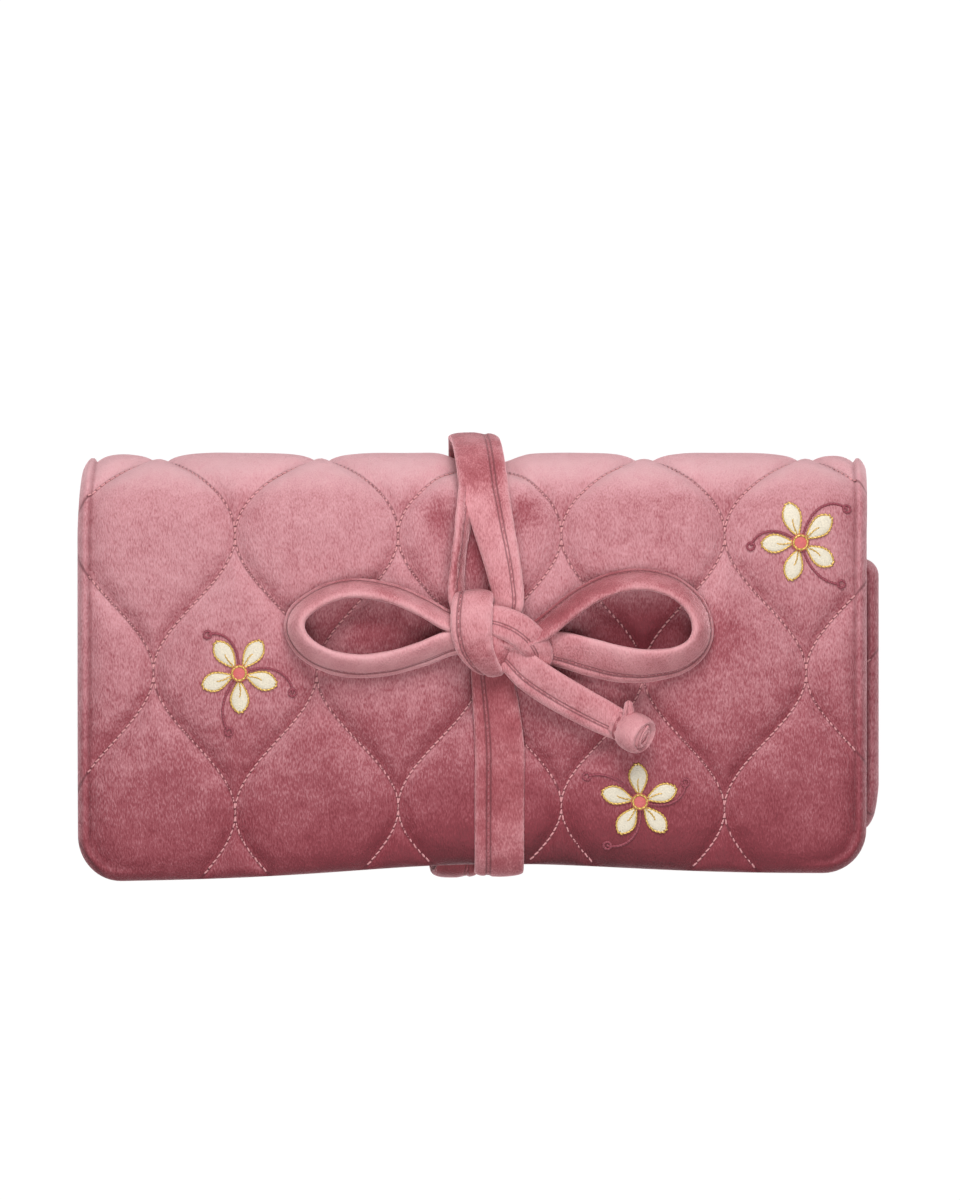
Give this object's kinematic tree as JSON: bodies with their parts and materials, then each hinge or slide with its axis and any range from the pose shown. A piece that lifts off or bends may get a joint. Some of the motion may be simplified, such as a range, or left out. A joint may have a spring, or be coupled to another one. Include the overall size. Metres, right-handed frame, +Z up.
{
  "type": "jewelry roll",
  "caption": "Quilted velvet jewelry roll folded in three and tied with a bow, with zip pockets and a snap-down ring bar inside.",
  "frame": {"origin": "under the middle of the rolled case, on the surface that it lies on", "axes": "+X along the roll, to the right in the picture; +Y towards the spine that the flap folds over; +Z up out of the flap"},
  "size_m": [0.203, 0.1154, 0.0473],
  "materials": {
    "cover_velvet": "dusty rose velvet, quilted over wadding",
    "tie_velvet": "dusty rose velvet tube, edge-stitched",
    "lining_satin": "pale rose satin",
    "pocket_cloth": "rose velveteen",
    "zip_cloth": "woven zip tape",
    "gilt_metal": "polished gilt brass"
  },
  "bodies": {
    "back": {"back_quilt": "cover_velvet", "back_lining": "lining_satin", "back_fold_quilt": "cover_velvet", "back_fold_lining": "lining_satin", "back_pocket_lower": "pocket_cloth", "back_pocket_upper": "pocket_cloth", "back_zip_tape_lower": "zip_cloth", "back_zip_tape_upper": "zip_cloth", "back_zip_teeth": "gilt_metal", "snap_stud": "gilt_metal", "tie_back_strand": "tie_velvet"},
    "spine": {"spine_quilt": "cover_velvet", "spine_lining": "lining_satin", "tie_spine_strand": "tie_velvet"},
    "flap": {"flap_quilt": "cover_velvet", "flap_lining": "lining_satin", "tie_front_strand": "tie_velvet", "tie_upper_right_strand": "tie_velvet", "tie_upper_left_strand": "tie_velvet", "bow_left_loop": "tie_velvet", "bow_right_loop": "tie_velvet", "bow_tail": "tie_velvet", "bow_tail_tuck": "tie_velvet", "bow_knot": "tie_velvet"},
    "lower": {"lower_fold_quilt": "cover_velvet", "lower_fold_lining": "lining_satin", "lower_quilt": "cover_velvet", "lower_lining": "lining_satin", "lower_pocket_lower": "pocket_cloth", "lower_pocket_upper": "pocket_cloth", "lower_zip_tape_lower": "zip_cloth", "lower_zip_tape_upper": "zip_cloth", "lower_zip_teeth": "gilt_metal"},
    "ring_bar": {"ring_bar_cover": "cover_velvet", "ring_bar_core": "lining_satin", "ring_bar_hinge_tab": "cover_velvet", "ring_bar_snap_tab": "cover_velvet", "snap_cap": "gilt_metal"},
    "back_zip": {"back_zip_slider": "gilt_metal", "back_zip_pull": "gilt_metal"},
    "lower_zip": {"lower_zip_slider": "gilt_metal", "lower_zip_pull": "gilt_metal"}
  },
  "joints": [
    {"name": "spine_fold", "type": "hinge", "parent": "back", "child": "spine", "pos_m": [0, 0.04698, 0.00527], "axis": [-1, 0, 0], "range_deg": [0, 82]},
    {"name": "flap_fold", "type": "hinge", "parent": "spine", "child": "flap", "pos_m": [0, 0.04698, 0.03073], "axis": [-1, 0, 0], "range_deg": [0, 82]},
    {"name": "lower_panel_fold", "type": "hinge", "parent": "back", "child": "lower", "pos_m": [0, -0.04325, 0.01285], "axis": [1, 0, 0], "range_deg": [0, 70]},
    {"name": "ring_bar_lift", "type": "hinge", "parent": "back", "child": "ring_bar", "pos_m": [-0.0783, 0.03425, 0.0081], "axis": [0, -1, 0], "range_deg": [0, 33]},
    {"name": "back_zip_slide", "type": "slide", "parent": "back", "child": "back_zip", "axis": [1, 0, 0], "range_m": [0, 0.15]},
    {"name": "lower_zip_slide", "type": "slide", "parent": "lower", "child": "lower_zip", "axis": [1, 0, 0], "range_m": [0, 0.15]}
  ],
  "couplings": [
    {"joint": "flap_fold", "follows": "spine_fold", "ratio": 1},
    {"joint": "lower_panel_fold", "follows": "spine_fold", "ratio": 0.85},
    {"joint": "ring_bar_lift", "follows": "spine_fold", "ratio": 0.4}
  ]
}
